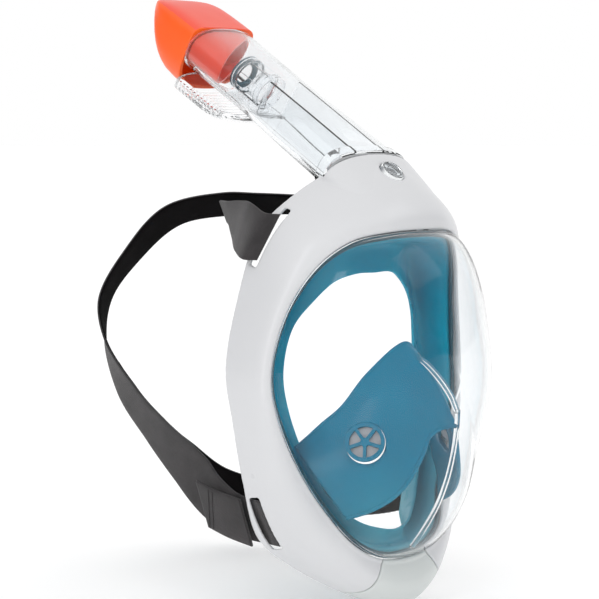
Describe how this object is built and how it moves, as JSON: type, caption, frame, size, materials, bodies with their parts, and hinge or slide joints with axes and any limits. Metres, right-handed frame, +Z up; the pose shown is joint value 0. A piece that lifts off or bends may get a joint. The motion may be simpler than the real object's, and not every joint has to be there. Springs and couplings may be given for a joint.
{
  "type": "full face snorkel mask",
  "caption": "Full face snorkel mask with a clear domed visor, white frame, silicone skirt and nose pocket, pull-off clear tube with float valve and orange cap, and elastic head strap.",
  "frame": {"origin": "middle of the face opening, on the centre plane, level with the widest part of the visor's edge", "axes": "+Z up from chin to crown, -Y the way the wearer looks, +X the wearer's left"},
  "size_m": [0.1827, 0.2672, 0.3674],
  "materials": {
    "frame_white": "glossy moulded polypropylene, very light grey white",
    "chin_grey": "glossy moulded plastic, slightly greener grey",
    "clear_visor": "clear polished polycarbonate",
    "clear_tube": "clear moulded plastic with thick bright edges",
    "clear_button": "clear moulded plastic",
    "seal_dark": "dark soft silicone",
    "silicone_teal": "satin liquid silicone, teal",
    "valve_teal": "satin moulded plastic, teal",
    "valve_grey": "satin silicone, grey",
    "cage_grey": "satin moulded plastic, pale grey",
    "float_white": "satin moulded plastic, white",
    "cap_orange": "satin bright orange moulded plastic",
    "insert_coral": "satin coral moulded plastic",
    "webbing": "woven elastic, dark grey with a near black inside",
    "screw_steel": "stainless steel"
  },
  "bodies": {
    "mask": {"front_frame": "frame_white", "chin_cover": "chin_grey", "visor_lens": "clear_visor", "visor_gasket": "seal_dark", "face_skirt": "silicone_teal", "rear_clamp_frame": "frame_white", "nose_pocket": "silicone_teal", "clamp_screw_1": "screw_steel", "clamp_screw_2": "screw_steel", "clamp_screw_3": "screw_steel", "clamp_screw_4": "screw_steel", "inhale_valve_seat_right": "valve_teal", "inhale_valve_seat_left": "valve_teal", "chin_valve_seat": "valve_grey", "button_spring": "screw_steel", "button_latch_plate": "screw_steel", "shoulder_strap_right": "webbing", "shoulder_strap_left": "webbing", "back_strap": "webbing", "jaw_strap_right": "webbing", "jaw_strap_left": "webbing", "jaw_strap_tail_right": "webbing", "jaw_strap_tail_left": "webbing"},
    "tube": {"tube_body": "clear_tube", "intake_grille": "clear_tube", "tube_cap": "cap_orange", "cap_insert": "insert_coral", "float_cage": "cage_grey", "float_seal": "seal_dark", "tube_socket_gasket": "seal_dark"},
    "float": {"float": "float_white"},
    "button": {"release_button": "clear_button"},
    "inhale_disc_right": {"inhale_valve_disc_right": "valve_grey"},
    "inhale_disc_left": {"inhale_valve_disc_left": "valve_grey"},
    "chin_disc": {"chin_valve_disc": "seal_dark"},
    "exhale_flap_right": {"exhale_valve_flap_right": "valve_grey"},
    "exhale_flap_left": {"exhale_valve_flap_left": "valve_grey"}
  },
  "joints": [
    {"name": "tube_pull", "type": "slide", "parent": "mask", "child": "tube", "axis": [0, 0.866, 0.5], "range_m": [0, 0.06]},
    {"name": "button_press", "type": "slide", "parent": "mask", "child": "button", "axis": [0, 0.682, -0.7314], "range_m": [0, 0.0015], "stiffness_N_per_m": 400, "springref_m": -0.001, "deforming": ["button_spring"]},
    {"name": "float_rise", "type": "slide", "parent": "tube", "child": "float", "axis": [0, 0.866, 0.5], "range_m": [0, 0.0105]},
    {"name": "inhale_lift_right", "type": "slide", "parent": "mask", "child": "inhale_disc_right", "axis": [0.7585, 0.499, -0.4192], "range_m": [0, 0.0015], "stiffness_N_per_m": 20},
    {"name": "inhale_lift_left", "type": "slide", "parent": "mask", "child": "inhale_disc_left", "axis": [-0.7585, 0.499, -0.4192], "range_m": [0, 0.0015], "stiffness_N_per_m": 20},
    {"name": "chin_drain_lift", "type": "slide", "parent": "mask", "child": "chin_disc", "axis": [0, -0.3304, -0.9439], "range_m": [0, 0.0012], "stiffness_N_per_m": 20},
    {"name": "exhale_flap_turn_right", "type": "hinge", "parent": "tube", "child": "exhale_flap_right", "pos_m": [-0.0235, -0.01602, 0.10407], "axis": [0, -0.5, 0.866], "range_deg": [0, 20], "stiffness_Nm_per_rad": 0.002},
    {"name": "exhale_flap_turn_left", "type": "hinge", "parent": "tube", "child": "exhale_flap_left", "pos_m": [0.0235, -0.01602, 0.10407], "axis": [0, 0.5, -0.866], "range_deg": [0, 20], "stiffness_Nm_per_rad": 0.002}
  ]
}
